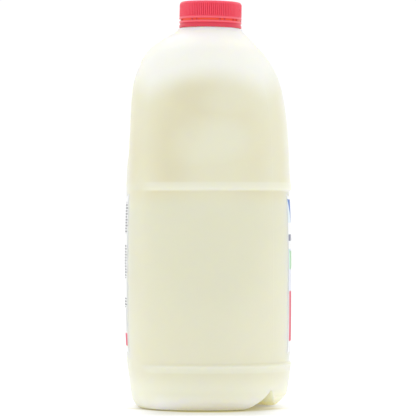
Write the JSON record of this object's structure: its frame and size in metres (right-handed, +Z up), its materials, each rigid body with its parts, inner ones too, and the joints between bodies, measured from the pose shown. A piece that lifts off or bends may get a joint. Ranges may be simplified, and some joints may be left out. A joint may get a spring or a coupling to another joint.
{
  "type": "milk jug",
  "caption": "Milky plastic milk jug with rounded square body, grip through its rear corner, ribbed screw cap, raised ribs and two paper-thin labels.",
  "frame": {"origin": "on the floor, under the middle of the jug's bounding box", "axes": "+Z up to the cap, +X towards the pouring corner, -X towards the corner with the grip, +Y to the front label's side"},
  "size_m": [0.1212, 0.1194, 0.266],
  "materials": {
    "milky_plastic": "satin",
    "red_cap": "satin",
    "label_front_print": "satin",
    "label_back_print": "satin"
  },
  "bodies": {
    "root": {"bottle": "milky_plastic", "cap": "red_cap", "label_front": "label_front_print", "label_back": "label_back_print"}
  },
  "joints": []
}
